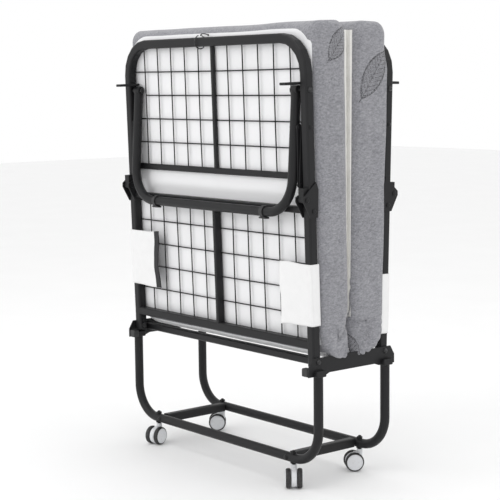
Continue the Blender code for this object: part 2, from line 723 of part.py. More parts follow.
def frame_stops():
    """Blocks beside the pivots that the side tubes rest on when a half lies flat."""
    for hand, x in HANDS.items():
        for side, facing in (("front", -1), ("back", 1)):
            x_middle = x * SIDE_X
            y_middle = facing * (PIVOT_DEPTH + 0.0255)
            low = (x_middle - 0.0112, y_middle - 0.0085, PIVOT_HEIGHT - 0.0350)
            high = (x_middle + 0.0112, y_middle + 0.0085, PIVOT_HEIGHT - TUBE / 2 - 0.0015)
            finish(block(low, high, 0.002), f"frame_stop_{side}_{hand}", PLASTIC)


def cross_rails():
    half = RAIL_D / 2
    z = PIVOT_HEIGHT - RAIL_D_DROP
    reach = BED_WIDTH / 2 + 0.0004
    for side, y in (("front", -RAIL_D_Y), ("back", RAIL_D_Y)):
        rail = block((-reach, y - half, z - half), (reach, y + half, z + half), 0.003)
        finish(rail, "cross_rail_" + side, BLACK)


def pivot_bolts():
    outer = BED_WIDTH / 2 + 0.0007 + PLATE_THICK
    inner = SIDE_X - TUBE / 2
    for hand, x in HANDS.items():
        for side, facing in (("front", -1), ("back", 1)):
            bolt = through_bolt(x, facing * PIVOT_DEPTH, PIVOT_HEIGHT, outer, inner)
            finish(bolt, f"pivot_bolt_{side}_{hand}", BLACK)


def caster(corner, x, y):
    """A twin-wheel caster: a swivel housing on the stem and two wheels on one axle behind it."""
    swivel = empty(f"caster_{corner}_swivel", (x, y, 0), ("Z", math.radians(SWIVELS[corner])))
    half = CASTER_BODY / 2
    drum = rod((TRAIL, -half, WHEEL_RADIUS), (TRAIL, half, WHEEL_RADIUS), 0.0235, 12)
    socket = rod((0, 0, WHEEL_RADIUS - 0.004), (0, 0, HOUSING_TOP), 0.0078, ROUND_SIDES)
    web = block((-0.0075, -half, WHEEL_RADIUS - 0.004), (TRAIL, half, HOUSING_TOP - 0.007), 0.002)
    housing = fuse([drum, socket, web])
    finish(housing, f"caster_{corner}_housing", CASTER_GREY, swivel)
    drill(housing, [((0, 0, STEM_END - 0.001), (0, 0, HOUSING_TOP + 0.01), 0.0050),
                    ((TRAIL, -0.03, WHEEL_RADIUS), (TRAIL, 0.03, WHEEL_RADIUS), 0.0040)], swivel)
    axle = empty(f"caster_{corner}_axle", (TRAIL, 0, WHEEL_RADIUS), None, swivel)
    axle_rod = rod((0, -half - 0.005, 0), (0, half + 0.005, 0), 0.0035)
    wheels = [axle_rod]
    for side in (1, -1):
        wheel = turned([(0, WHEEL_WIDTH), (0.0165, WHEEL_WIDTH), (0.0240, WHEEL_WIDTH - 0.002), (WHEEL_RADIUS, 0.0100),
                        (WHEEL_RADIUS, 0.0030), (0.0245, 0.0), (0, 0)], 16)
        turn = Matrix.Rotation(-side * math.pi / 2, 4, "X")
        wheel.data.transform(Matrix.Translation((0, side * (half + 0.0006), 0)) @ turn)
        wheels.append(wheel)
    finish(fuse(wheels), f"caster_{corner}_wheels", PLASTIC, axle)


def mattress_fold():
    """The stretch of mattress between the two halves, hanging between the cross rails."""
    low = (-MATTRESS_WIDTH / 2 + 0.02, -0.072, PIVOT_HEIGHT - 0.004)
    high = (MATTRESS_WIDTH / 2 - 0.02, 0.072, PIVOT_HEIGHT + MATTRESS_BOTTOM - 0.008)
    finish(block(low, high, 0.012), "mattress_fold", KNIT)


def build():
    base_hoop("base_front_u", -1)
    base_hoop("base_back_u", 1)
    crossbars()
    side_plates()
    frame_stops()
    cross_rails()
    pivot_bolts()
    mattress_fold()
    for name_y, y in (("front", -PIVOT_DEPTH), ("back", PIVOT_DEPTH)):
        for name_x, x in (("left", -STEM_X), ("right", STEM_X)):
            caster(f"{name_y}_{name_x}", x, y)
    front = bed_half("front")
    bed_half("back")
    latch_hook(front)


build()
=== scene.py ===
import json
import math
import random

import bmesh
import bpy
from mathutils import Matrix, Vector, noise


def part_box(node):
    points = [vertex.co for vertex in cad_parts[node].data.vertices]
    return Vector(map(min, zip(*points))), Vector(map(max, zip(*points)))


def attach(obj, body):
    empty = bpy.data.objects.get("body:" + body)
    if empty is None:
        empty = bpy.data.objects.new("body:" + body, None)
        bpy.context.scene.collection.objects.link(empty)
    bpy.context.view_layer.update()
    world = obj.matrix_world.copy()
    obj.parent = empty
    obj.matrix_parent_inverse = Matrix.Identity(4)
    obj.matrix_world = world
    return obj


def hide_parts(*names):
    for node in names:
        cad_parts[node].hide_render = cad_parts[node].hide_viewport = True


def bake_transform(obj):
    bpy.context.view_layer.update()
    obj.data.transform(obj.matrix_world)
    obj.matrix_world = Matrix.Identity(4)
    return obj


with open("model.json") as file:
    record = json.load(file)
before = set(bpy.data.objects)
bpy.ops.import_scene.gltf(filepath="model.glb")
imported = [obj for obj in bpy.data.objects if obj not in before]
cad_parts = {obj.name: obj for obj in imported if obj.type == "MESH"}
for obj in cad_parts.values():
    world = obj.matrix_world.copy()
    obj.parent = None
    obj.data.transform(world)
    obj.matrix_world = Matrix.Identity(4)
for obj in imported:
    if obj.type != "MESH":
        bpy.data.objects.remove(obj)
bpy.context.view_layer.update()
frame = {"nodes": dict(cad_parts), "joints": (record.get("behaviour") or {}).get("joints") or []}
joints = {joint["name"]: joint for joint in frame["joints"]}
hands = {"left": -1, "right": 1}
print("frame loaded:", len(frame["nodes"]), "nodes")

# Where the halves stand, from the joints
frontPivot = Vector(joints["front_fold"]["pos_m"])
latchCentre = Vector(joints["latch_swing"]["pos_m"])
legPivot = Vector(joints["front_leg_swing"]["pos_m"])
lean = math.atan2(frontPivot.y - legPivot.y, legPivot.z - frontPivot.z)
pivotDepth = -frontPivot.y
pivotHeight = frontPivot.z
legHeight = (legPivot - frontPivot).length
topTube = (Vector((0, latchCentre.y, latchCentre.z)) - frontPivot).length


def halfPlace(side):
    turn = 0 if side == "front" else math.pi
    facing = -1 if side == "front" else 1
    spin = Matrix.Rotation(turn, 4, "Z") @ Matrix.Rotation(lean, 4, "X")
    return Matrix.Translation((0, facing * pivotDepth, pivotHeight)) @ spin


# Shader maths


class Shade:
    def __init__(self, tree, socket=None):
        self.tree = tree
        self.socket = socket

    def node(self, kind, settings=None, sockets=None, output=0):
        made = self.tree.nodes.new("ShaderNode" + kind)
        for key, value in (settings or {}).items():
            if key == "stops":
                ramp = made.color_ramp
                for stop, (place, shade) in zip((ramp.elements[0], ramp.elements[1]), value[:2]):
                    stop.position = place
                    stop.color = shade
                for place, shade in value[2:]:
                    ramp.elements.new(place).color = shade
            else:
                setattr(made, key, value)
        for key, value in (sockets or {}).items():
            if isinstance(value, Shade):
                self.tree.links.new(value.socket, made.inputs[key])
            else:
                made.inputs[key].default_value = value
        return Shade(self.tree, made.outputs[output])

    def maths(self, operation, first, second=0.0):
        return self.node("Math", {"operation": operation}, {0: first, 1: second})

    def __add__(self, other):
        return self.maths("ADD", self, other)

    def __sub__(self, other):
        return self.maths("SUBTRACT", self, other)

    def __rsub__(self, other):
        return self.maths("SUBTRACT", other, self)

    def __mul__(self, other):
        return self.maths("MULTIPLY", self, other)

    def __lt__(self, other):
        return self.maths("LESS_THAN", self, other)

    def __gt__(self, other):
        return self.maths("GREATER_THAN", self, other)

    __radd__ = __add__
    __rmul__ = __mul__

    def grain(self, place, scale, detail=2.0, roughness=0.5):
        return self.node("TexNoise", {}, {"Vector": place, "Scale": scale, "Detail": detail,
                                          "Roughness": roughness})

    def spread(self, value, low, high):
        return self.node("MapRange", {}, {"Value": value, "From Min": low, "From Max": high})

    def mix(self, factor, first, second):
        return self.node("Mix", {"data_type": "RGBA"}, {"Factor": factor, 6: first, 7: second}, 2)

    def place(self):
        return self.node("TexCoord", output=3)

    def stretched(self, place, scale, turn=(0.0, 0.0, 0.0)):
        return self.node("Mapping", {}, {"Vector": place, "Scale": scale, "Rotation": turn})

    def split(self, place):
        apart = self.node("SeparateXYZ", {}, {"Vector": place})
        outputs = apart.socket.node.outputs
        return [Shade(self.tree, outputs[axis]) for axis in range(3)]


def makeMaterial(name, paint, **steady):
    material = bpy.data.materials.new(name)
    material.use_nodes = True
    tree = material.node_tree
    shader = tree.nodes["Principled BSDF"]
    for key, value in steady.items():
        shader.inputs[key.replace("_", " ")].default_value = value
    looks = paint(Shade(tree))
    bump = looks.pop("bump", None)
    if bump:
        height, strength, distance = bump
        normal = Shade(tree).node("Bump", {}, {"Height": height, "Strength": strength, "Distance": distance})
        looks["Normal"] = normal
    for key, value in looks.items():
        tree.links.new(value.socket, shader.inputs[key])
    return material


powder = {"dark": (0.009, 0.009, 0.010, 1), "light": (0.015, 0.015, 0.016, 1), "roughness": 0.38}


def paintPowderCoat(shade):
    place = shade.place()
    cloud = shade.grain(place, 9.0, 3.0)
    peel = shade.grain(place, 620.0, 2.0)
    scuff = shade.spread(shade.grain(place, 70.0, 4.0, 0.7), 0.66, 0.74)
    return {
        "Base Color": shade.mix(cloud, powder["dark"], powder["light"]),
        "Roughness": powder["roughness"] + 0.14 * cloud + 0.12 * scuff,
        "bump": (peel, 0.12, 0.0004),
    }


def paintBolt(shade):
    place = shade.place()
    wear = shade.spread(shade.grain(place, 160.0, 3.0), 0.5, 0.72)
    return {
        "Base Color": shade.mix(wear, (0.022, 0.022, 0.023, 1), (0.085, 0.085, 0.088, 1)),
        "Roughness": 0.44 - 0.12 * wear,
        "bump": (shade.grain(place, 800.0), 0.10, 0.0002),
    }


def paintPlastic(shade):
    place = shade.place()
    grain = shade.grain(place, 900.0, 2.0)
    return {
        "Base Color": shade.mix(shade.grain(place, 30.0), (0.014, 0.014, 0.015, 1), (0.026, 0.026, 0.027, 1)),
        "Roughness": 0.42 + 0.16 * grain,
        "bump": (grain, 0.15, 0.0003),
    }


def paintCasterGrey(shade):
    place = shade.place()
    cloud = shade.grain(place, 40.0, 3.0)
    dust = shade.spread(shade.grain(place, 130.0, 4.0, 0.65), 0.55, 0.8)
    return {
        "Base Color": shade.mix(dust, (0.70, 0.71, 0.73, 1), (0.56, 0.56, 0.56, 1)),
        "Roughness": 0.26 + 0.16 * cloud + 0.1 * dust,
        "bump": (shade.grain(place, 500.0), 0.04, 0.0002),
    }


def paintTread(shade):
    place = shade.place()
    dust = shade.spread(shade.grain(place, 150.0, 5.0, 0.7), 0.48, 0.8)
    return {
        "Base Color": shade.mix(dust, (0.014, 0.014, 0.015, 1), (0.075, 0.073, 0.070, 1)),
        "Roughness": 0.52 + 0.25 * dust,
        "bump": (shade.grain(place, 650.0, 3.0), 0.2, 0.0003),
    }


knit = {"dark": (0.150, 0.151, 0.168, 1), "light": (0.34, 0.34, 0.362, 1), "leaf": (0.030, 0.030, 0.034, 1),
        "base": (0.82, 0.82, 0.83, 1)}

# Each leaf: centre (y, z), half length, half width and tilt of its axis from upright
leaves = [
    {"centre": (-0.047, 1.146), "length": 0.055, "width": 0.026, "tilt": math.radians(-38)},
    {"centre": (0.075, 1.067), "length": 0.074, "width": 0.031, "tilt": math.radians(-35)},
    {"centre": (0.004, 0.362), "length": 0.046, "width": 0.017, "tilt": math.radians(12)},
]


def leafMask(shade, across, up, leaf):
    # Outline, midrib and slanting veins, broken up like printed stitching
    cosine, sine = math.cos(leaf["tilt"]), math.sin(leaf["tilt"])
    sideways = across - leaf["centre"][0]
    upright = up - leaf["centre"][1]
    along = (upright * cosine - sideways * sine) * (1 / leaf["length"])
    over = (upright * sine + sideways * cosine) * (1 / leaf["width"])
    edge = 1 - along * along
    overSize = shade.maths("ABSOLUTE", over)
    inside = overSize < edge
    rim = shade.maths("ABSOLUTE", overSize - edge) < 0.085
    rib = overSize < 0.035
    stem = (shade.maths("ABSOLUTE", along + 1.06) < 0.10) * (overSize < 0.035)
    veinPhase = shade.maths("FRACT", (along - overSize * 0.42) * 5.5)
    veins = (veinPhase < 0.17) * inside
    fine = shade.maths("FRACT", (along + overSize * 0.9) * 16.0)
    hatch = (fine < 0.36) * inside * 0.75
    outline = shade.maths("MAXIMUM", rim, rib * inside)
    line = shade.maths("MAXIMUM", outline, shade.maths("MAXIMUM", veins, hatch))
    return shade.maths("MAXIMUM", line, stem)


def paintKnit(shade):
    rest = shade.node("Attribute", {"attribute_name": "restPlace"}, {}, 1)
    outward, across, up = shade.split(rest)
    slanted = shade.stretched(rest, (1.0, 0.55, 1.0), (0.5, 0.0, 0.0))
    fleck = shade.grain(slanted, 300.0, 3.0, 0.65)
    heather = shade.grain(shade.stretched(rest, (1.0, 0.4, 1.0), (0.5, 0.0, 0.0)), 170.0, 4.0, 0.7)
    patch = shade.grain(rest, 14.0, 2.0)
    tone = shade.spread(fleck * 0.46 + heather * 0.46 + patch * 0.08, 0.36, 0.64)
    cloth = shade.mix(tone, knit["dark"], knit["light"])
    broken = shade.spread(shade.grain(rest, 420.0, 2.0, 0.6), 0.38, 0.52)
    mask = leafMask(shade, across, up, leaves[0])
    for leaf in leaves[1:]:
        mask = shade.maths("MAXIMUM", mask, leafMask(shade, across, up, leaf))
    printed = mask * broken * 0.92 * (outward > 0.376)
    pale = shade.node("Attribute", {"attribute_name": "pale"}, {}, 2) > 0.5
    loops = shade.grain(shade.stretched(rest, (1.0, 1.0, 0.5)), 700.0, 2.0)
    return {
        "Base Color": shade.mix(pale, shade.mix(printed, cloth, knit["leaf"]), knit["base"]),
        "Roughness": 0.86 + 0.1 * fleck,
        "bump": (loops * 0.7 + fleck * 0.3 - printed * 0.4, 0.55, 0.0012),
    }


def paintPaleKnit(light, dark, bump):
    def paint(shade):
        rest = shade.node("Attribute", {"attribute_name": "restPlace"}, {}, 1)
        fleck = shade.grain(rest, 380.0, 3.0, 0.6)
        patch = shade.grain(rest, 11.0, 3.0)
        loops = shade.grain(shade.stretched(rest, (1.0, 1.0, 0.45)), 800.0, 2.0)
        return {
            "Base Color": shade.mix(shade.spread(fleck * 0.5 + patch * 0.5, 0.35, 0.65), dark, light),
            "Roughness": 0.84 + 0.12 * fleck,
            "bump": (loops, bump, 0.001),
        }
    return paint


def paintStrap(shade):
    place = shade.place()
    across, _, up = shade.split(place)
    weft = shade.maths("SINE", up * 3600.0)
    warp = shade.maths("SINE", across * 3600.0)
    weave = shade.spread(weft * warp, -1.0, 1.0)
    patch = shade.grain(place, 45.0, 3.0)
    return {
        "Base Color": shade.mix(patch * 0.5 + weave * 0.5, (0.74, 0.74, 0.74, 1), (0.87, 0.87, 0.87, 1)),
        "Roughness": 0.80 + 0.12 * weave,
        "bump": (weave * 0.6 + patch * 0.6, 0.35, 0.0008),
    }


def paintHookTape(shade):
    place = shade.place()
    pile = shade.grain(place, 700.0, 3.0, 0.7)
    return {
        "Base Color": shade.mix(pile, (0.006, 0.006, 0.007, 1), (0.045, 0.045, 0.047, 1)),
        "Roughness": 0.75 + 0.2 * pile,
        "bump": (pile, 0.9, 0.0015),
    }


powderCoat = makeMaterial("powderCoat", paintPowderCoat, Specular_IOR_Level=0.25)
boltBlack = makeMaterial("boltBlack", paintBolt, Metallic=0.35)
blackPlastic = makeMaterial("blackPlastic", paintPlastic)
casterGrey = makeMaterial("casterGrey", paintCasterGrey)
treadRubber = makeMaterial("treadRubber", paintTread)
greyKnit = makeMaterial("greyKnit", paintKnit, Sheen_Weight=0.25, Sheen_Roughness=0.5)
creamKnit = makeMaterial("creamKnit", paintPaleKnit((0.80, 0.79, 0.76, 1), (0.66, 0.65, 0.62, 1), 0.5),
                         Sheen_Weight=0.2)
strapWeb = makeMaterial("strapWeb", paintStrap, Sheen_Weight=0.15)
hookTape = makeMaterial("hookTape", paintHookTape)
print("materials made")

# Mesh tools


def addObject(name, bm, materials, place=None, smoothAngle=35):
    bmesh.ops.recalc_face_normals(bm, faces=bm.faces)
    if place:
        bm.transform(place)
    mesh = bpy.data.meshes.new(name)
    bm.to_mesh(mesh)
    bm.free()
    for material in materials:
        mesh.materials.append(material)
    mesh.shade_smooth()
    mesh.set_sharp_from_angle(angle=math.radians(smoothAngle))
    obj = bpy.data.objects.new(name, mesh)
    bpy.context.scene.collection.objects.link(obj)
    return obj


def arcPath(corners, radius, steps=14):
    corners = [Vector(corner) for corner in corners]
    path = [corners[0]]
    for before, corner, after in zip(corners, corners[1:], corners[2:]):
        back = (before - corner).normalized()
        ahead = (after - corner).normalized()
        half = back.angle(ahead) / 2
        centre = corner + (back + ahead).normalized() * radius / math.sin(half)
        reach = radius / math.tan(half)
        start = corner + back * reach - centre
        end = corner + ahead * reach - centre
        sweep = start.angle(end)
        for step in range(steps + 1):
            share = step / steps
            weights = (math.sin((1 - share) * sweep), math.sin(share * sweep))
            path.append(centre + (start * weights[0] + end * weights[1]) / math.sin(sweep))
    path.append(corners[-1])
    return path


def roundSection(radius, sides=20):
    turns = [2 * math.pi * side / sides for side in range(sides)]
    return [(radius * math.cos(turn), radius * math.sin(turn)) for turn in turns]


def sweepTube(bm, points, planeNormal, section, closed=False):
    # Draws a section along a flat path; planeNormal stands upright on the path's plane
    points = [Vector(point) for point in points]
    normal = Vector(planeNormal).normalized()
    rings = []
    count = len(points)
    for index, point in enumerate(points):
        before = points[index - 1] if index or closed else point
        after = points[(index + 1) % count] if index < count - 1 or closed else point
        along = (after - before).normalized()
        sideways = along.cross(normal).normalized()
        rings.append([bm.verts.new(point + sideways * a + normal * b) for a, b in section])
    pairs = list(zip(rings, rings[1:]))
    if closed:
        pairs.append((rings[-1], rings[0]))
    for first, second in pairs:
        for index in range(len(section)):
            following = (index + 1) % len(section)
            bm.faces.new((first[index], first[following], second[following], second[index]))
    if not closed:
        bm.faces.new(rings[0])
        bm.faces.new(rings[-1])


def spinProfile(bm, profile, place, steps=36):
    # Turns (radius, height) points about Z, then moves the result into place
    rings = []
    for radius, height in profile:
        if radius < 1e-6:
            rings.append([bm.verts.new(place @ Vector((0, 0, height)))])
        else:
            turns = [2 * math.pi * step / steps for step in range(steps)]
            rings.append([bm.verts.new(place @ Vector((radius * math.cos(t), radius * math.sin(t), height)))
                          for t in turns])
    faces = []
    for first, second in zip(rings, rings[1:]):
        for step in range(steps):
            following = (step + 1) % steps
            corners = [first[step % len(first)], first[following % len(first)],
                       second[following % len(second)], second[step % len(second)]]
            unique = list(dict.fromkeys(corners))
            if len(unique) > 2:
                faces.append(bm.faces.new(unique))
    return faces


def addBlock(bm, low, high, bevel, segments=3):
    low, high = Vector(low), Vector(high)
    place = Matrix.Translation((low + high) / 2) @ Matrix.Diagonal((*(high - low), 1.0))
    made = bmesh.ops.create_cube(bm, size=1.0, matrix=place)
    edges = list({edge for vert in made["verts"] for edge in vert.link_edges})
    bmesh.ops.bevel(bm, geom=edges, offset=bevel, segments=segments, profile=0.5, affect="EDGES")


def alongX(side, place):
    # Turns +Z to point to the side's outside
    return Matrix.Translation(place) @ Matrix.Rotation(side * math.pi / 2, 4, "Y")


def domeProfile(radius, height, shank, depth):
    return [(0, height), (radius * 0.35, height * 0.97), (radius * 0.66, height * 0.82),
            (radius * 0.9, height * 0.52), (radius, height * 0.22), (radius, 0.0), (shank, 0.0),
            (shank, -depth), (0, -depth)]


def rest(obj):
    # Keeps each point's place at rest, so that the cloth's pattern stays on it when it bends
    place = obj.data.attributes.new("restPlace", "FLOAT_VECTOR", "POINT")
    coordinates = [value for vert in obj.data.vertices for value in (abs(vert.co.x), vert.co.y, vert.co.z)]
    place.data.foreach_set("vector", coordinates)


# Steel frame: the flat and square pieces are the frame's own, the round ones are drawn finely

for node in ("upper_frame", "lower_frame"):
    for side in ("front", "back"):
        frame["nodes"][f"{side}_{node}"].data.materials.clear()
        frame["nodes"][f"{side}_{node}"].data.materials.append(powderCoat)
for name, obj in frame["nodes"].items():
    if name.startswith(("base_crossbar", "side_plate", "cross_rail")) or "_brace_" in name:
        obj.data.materials.clear()
        obj.data.materials.append(powderCoat)
    if name.startswith("frame_stop"):
        obj.data.materials.clear()
        obj.data.materials.append(blackPlastic)

tube = {"radius": 0.0125, "bend": 0.088, "halfWidth": 0.3825}
base = {"legX": 0.398, "rail": 0.0755, "crossbarX": 0.283, "stemX": 0.301}
bolt = {"radius": 0.0072, "height": 0.0046, "shank": 0.0034}


def makeHoop(side):
    y = -pivotDepth if side == "front" else pivotDepth
    facing = -1 if side == "front" else 1
    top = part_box(f"base_{side}_u")[1].z
    bm = bmesh.new()
    corners = [(-base["legX"], y, top), (-base["legX"], y, base["rail"]),
               (base["legX"], y, base["rail"]), (base["legX"], y, top)]
    sweepTube(bm, arcPath(corners, tube["bend"], 20), (0, 1, 0), roundSection(tube["radius"], 24))
    for sign in hands.values():
        outward = Matrix.Translation((sign * base["crossbarX"], y + facing * (tube["radius"] - 0.0012),
                                      base["rail"]))
        spinProfile(bm, domeProfile(bolt["radius"], bolt["height"], bolt["shank"], 0.004),
                    outward @ Matrix.Rotation(-facing * math.pi / 2, 4, "X"), 24)
        crown = Matrix.Translation((sign * base["stemX"], y, base["rail"] + tube["radius"] - 0.001))
        spinProfile(bm, [(0.0, 0.0096), (0.0034, 0.0092), (0.0044, 0.008), (0.0044, 0.0064), (0.0072, 0.0062),
                         (0.0081, 0.0052), (0.0081, 0.0), (0.0, 0.0)], crown, 6)
        under = Matrix.Translation((sign * base["stemX"], y, 0))
        spinProfile(bm, [(0.0, 0.066), (0.0092, 0.066), (0.0092, 0.0618), (0.0046, 0.0612), (0.0046, 0.048),
                         (0.0, 0.048)], under, 24)
    hoop = addObject(f"{side}Hoop", bm, [powderCoat])
    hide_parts(f"base_{side}_u")
    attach(hoop, "base")


leg = {"halfWidth": 0.343, "length": 0.311, "lean": math.radians(5.2), "arm": 0.093, "glideX": 0.237}


def makeLeg(side):
    place = halfPlace(side) @ Matrix.Translation((0, 0, legHeight)) @ Matrix.Rotation(-leg["lean"], 4, "X")
    bm = bmesh.new()
    width = leg["halfWidth"]
    path = arcPath([(-width, 0, 0.0), (-width, 0, -leg["length"]), (width, 0, -leg["length"]),
                    (width, 0, 0.0)], tube["bend"], 20)
    sweepTube(bm, path, (0, 1, 0), roundSection(tube["radius"], 24))
    for sign in hands.values():
        eye = alongX(sign, (sign * width, 0, 0))
        spinProfile(bm, [(0.0038, 0.0125), (0.0105, 0.0125), (0.0120, 0.011), (0.0122, 0.0), (0.0120, -0.011),
                         (0.0105, -0.0125), (0.0038, -0.0125), (0.0038, 0.0125)], eye, 32)
        rivet = alongX(sign, (sign * (width + 0.0125), 0, -leg["arm"]))
        spinProfile(bm, [(0, 0.0078), (0.0040, 0.0078), (0.0046, 0.0073), (0.0046, 0.0065), (0.0035, 0.0065),
                         (0.0035, 0.0032), (0.0062, 0.0032), (0.0062, -0.003), (0, -0.003)], rivet, 20)
        inner = alongX(-sign, (sign * (width - 0.0115), 0, -leg["arm"]))
        spinProfile(bm, domeProfile(0.0062, 0.0034, 0.0035, 0.002), inner, 20)
    hoop = addObject(f"{side}LegHoop", bm, [powderCoat], place)
    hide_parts(f"{side}_leg")
    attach(hoop, f"{side}_leg")
    for hand, sign in hands.items():
        makeGlide(side, hand, sign, place)
        makeLegBolt(side, hand, sign)


def makeGlide(side, hand, sign, place):
    # A foot clip: a thin ring round the bar and a rounded pad that stands off its far side
    bm = bmesh.new()
    centre = Vector((sign * leg["glideX"], 0, -leg["length"]))
    ring = [(0.0129, 0.0066), (0.0150, 0.0066), (0.0155, 0.0060), (0.0155, -0.0060), (0.0150, -0.0066),
            (0.0129, -0.0066), (0.0129, 0.0066)]
    spinProfile(bm, ring, alongX(1, centre), 36)
    addBlock(bm, centre + Vector((-0.0125, -0.0082, -0.0185)),
             centre + Vector((0.0125, 0.0082, -0.0138)), 0.0016)
    glide = addObject(f"{side}Glide{hand.title()}", bm, [blackPlastic], place)
    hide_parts(f"{side}_leg_glide_{hand}")
    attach(glide, f"{side}_leg")


def addBolt(bm, sign, outer, inner, y, z):
    # A domed head outside, and a lock nut with its threaded end inside
    head = alongX(sign, (sign * outer, y, z))
    spinProfile(bm, domeProfile(bolt["radius"], bolt["height"], bolt["shank"], outer - inner + 0.006),
                head, 28)
    nut = alongX(-sign, (sign * (inner - 0.0003), y, z))
    spinProfile(bm, [(0, 0.0054), (0.0062, 0.0054), (0.0068, 0.0048), (0.0068, 0.0), (0, 0.0)], nut, 6)
    spinProfile(bm, [(0, 0.0066), (0.0030, 0.0066), (0.0034, 0.0060), (0.0034, 0.0050), (0, 0.0050)], nut, 20)


def makeLegBolt(side, hand, sign):
    bm = bmesh.new()
    addBolt(bm, sign, tube["halfWidth"] + tube["radius"] + 0.0003, leg["halfWidth"] - tube["radius"] - 0.0004,
            0, legHeight)
    made = addObject(f"{side}LegBolt{hand.title()}", bm, [boltBlack], halfPlace(side))
    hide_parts(f"{side}_leg_bolt_{hand}")
    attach(made, f"{side}_half")


def makePivotBolt(side, hand, sign):
    bm = bmesh.new()
    node = f"pivot_bolt_{side}_{hand}"
    plateFace = max(abs(corner.x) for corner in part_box(f"side_plate_{hand}"))
    y = -pivotDepth if side == "front" else pivotDepth
    low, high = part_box(node)
    outer = max(abs(low.x), abs(high.x)) - bolt["height"]
    addBolt(bm, sign, min(outer, plateFace), tube["halfWidth"] - tube["radius"] - 0.0004, y, pivotHeight)
    made = addObject(f"{side}PivotBolt{hand.title()}", bm, [boltBlack])
    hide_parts(node)
    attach(made, "base")


wire = {"radius": 0.00175, "pitch": 0.0633, "rowPitch": 0.0665, "uprightY": 0.0057, "crossY": 0.0085}


def makeWireMesh(side, level):
    # Drawn wires: uprights under crosswise ones, each a little bent
    topOfPart = {"upper": topTube - tube["radius"], "lower": 0.379}[level]
    bottom = {"upper": 0.479, "lower": 0.0545}[level]
    sideReach = tube["halfWidth"] - tube["radius"]
    rows = [topOfPart - wire["rowPitch"] * (0.97 + row) for row in range(4)]
    rng = random.Random(f"{side}{level}")
    section = roundSection(wire["radius"], 10)
    bendX = tube["halfWidth"] - tube["bend"]
    innerBend = tube["bend"] - tube["radius"]
    bm = bmesh.new()
    for column in range(-5, 6):
        if column == 0:
            continue
        x = column * wire["pitch"]
        top = topOfPart
        if level == "upper" and abs(x) > bendX:
            top += math.sqrt(innerBend ** 2 - (abs(x) + wire["radius"] - bendX) ** 2) - innerBend - 0.0006
        sway = rng.uniform(-0.0012, 0.0012)
        path = [(x + sway * math.sin(math.pi * step / 8), wire["uprightY"],
                 bottom + (top - bottom) * step / 8) for step in range(9)]
        sweepTube(bm, path, (0, 1, 0), section)
    for index, z in enumerate(rows):
        reach = 5 * wire["pitch"] + wire["radius"] if level == "upper" and index == 1 else sideReach
        if level == "upper" and index == 0:
            reach -= 0.001
        sag = rng.uniform(-0.0016, 0.0008)
        path = [(-reach + 2 * reach * step / 20, wire["crossY"], z + sag * math.sin(math.pi * step / 20))
                for step in range(21)]
        sweepTube(bm, path, (0, 1, 0), section)
    made = addObject(f"{side}{level.title()}Wires", bm, [powderCoat], halfPlace(side))
    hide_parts(f"{side}_{level}_mesh")
    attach(made, f"{side}_half")


latch = {"wire": 0.0014, "ring": 0.0182, "tail": 0.036}


def makeLatch():
    # A spring-wire ring round the top tube, its free end bent along the tube and hooked back
    x, y, z = latchCentre
    bm = bmesh.new()
    turns = [math.radians(84 - 336 * step / 44) for step in range(45)]
    section = roundSection(latch["wire"], 10)
    ring = [(x, y + latch["ring"] * math.cos(turn), z + latch["ring"] * math.sin(turn)) for turn in turns]
    sweepTube(bm, ring, (1, 0, 0), section)
    first = Vector(ring[0])
    tail = [first, first + Vector((0.004, 0, 0.0024)), first + Vector((0.010, 0, 0.0040)),
            first + Vector((0.020, 0, 0.0030)), first + Vector((latch["tail"], 0, 0.0004)),
            first + Vector((latch["tail"] + 0.0012, 0, -0.0008)),
            first + Vector((latch["tail"] - 0.003, 0, -0.0018))]
    sweepTube(bm, tail, (0, 1, 0), section)
    made = addObject("latchWire", bm, [boltBlack])
    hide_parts("latch_hook")
    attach(made, "latch")


for side in ("front", "back"):
    makeHoop(side)
    makeLeg(side)
    makeWireMesh(side, "upper")
    makeWireMesh(side, "lower")
    for hand, sign in hands.items():
        makePivotBolt(side, hand, sign)
makeLatch()
print("steel frame finished")

# Casters

caster = {"wheel": 0.026, "body": 0.0155, "width": 0.0145, "trail": 0.016}


def makeCaster(corner):
    swivel = joints[f"caster_{corner}_swivel"]
    roll = joints[f"caster_{corner}_roll"]
    stem = Vector(swivel["pos_m"])
    axle = Vector(roll["pos_m"])
    heading = math.atan2(axle.y - stem.y, axle.x - stem.x)
    place = Matrix.Translation((stem.x, stem.y, 0)) @ Matrix.Rotation(heading, 4, "Z")
    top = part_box(f"caster_{corner}_housing")[1].z
    half = caster["body"] / 2
    bm = bmesh.new()
    sideways = (Matrix.Translation((caster["trail"], 0, caster["wheel"]))
                @ Matrix.Rotation(-math.pi / 2, 4, "X"))
    spinProfile(bm, [(0.0, half), (0.0205, half), (0.0228, half - 0.0012), (0.0234, half - 0.0036),
                     (0.0234, 0.0036 - half), (0.0228, 0.0012 - half), (0.0205, -half),
                     (0.0, -half)], sideways, 40)
    socket = [(0.0052, top), (0.0070, top), (0.0078, top - 0.0012), (0.0078, 0.036), (0.0070, 0.024),
              (0.0, 0.022)]
    spinProfile(bm, socket, Matrix.Identity(4), 28)
    addBlock(bm, (-0.0072, -half + 0.0008, 0.024),
             (caster["trail"] + 0.002, half - 0.0008, top - 0.0066), 0.0035, 4)
    housing = addObject(f"{corner}Housing", bm, [casterGrey], place)
    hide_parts(f"caster_{corner}_housing")
    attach(housing, f"caster_{corner}_swivel")
    makeWheels(corner, place, sideways, half)


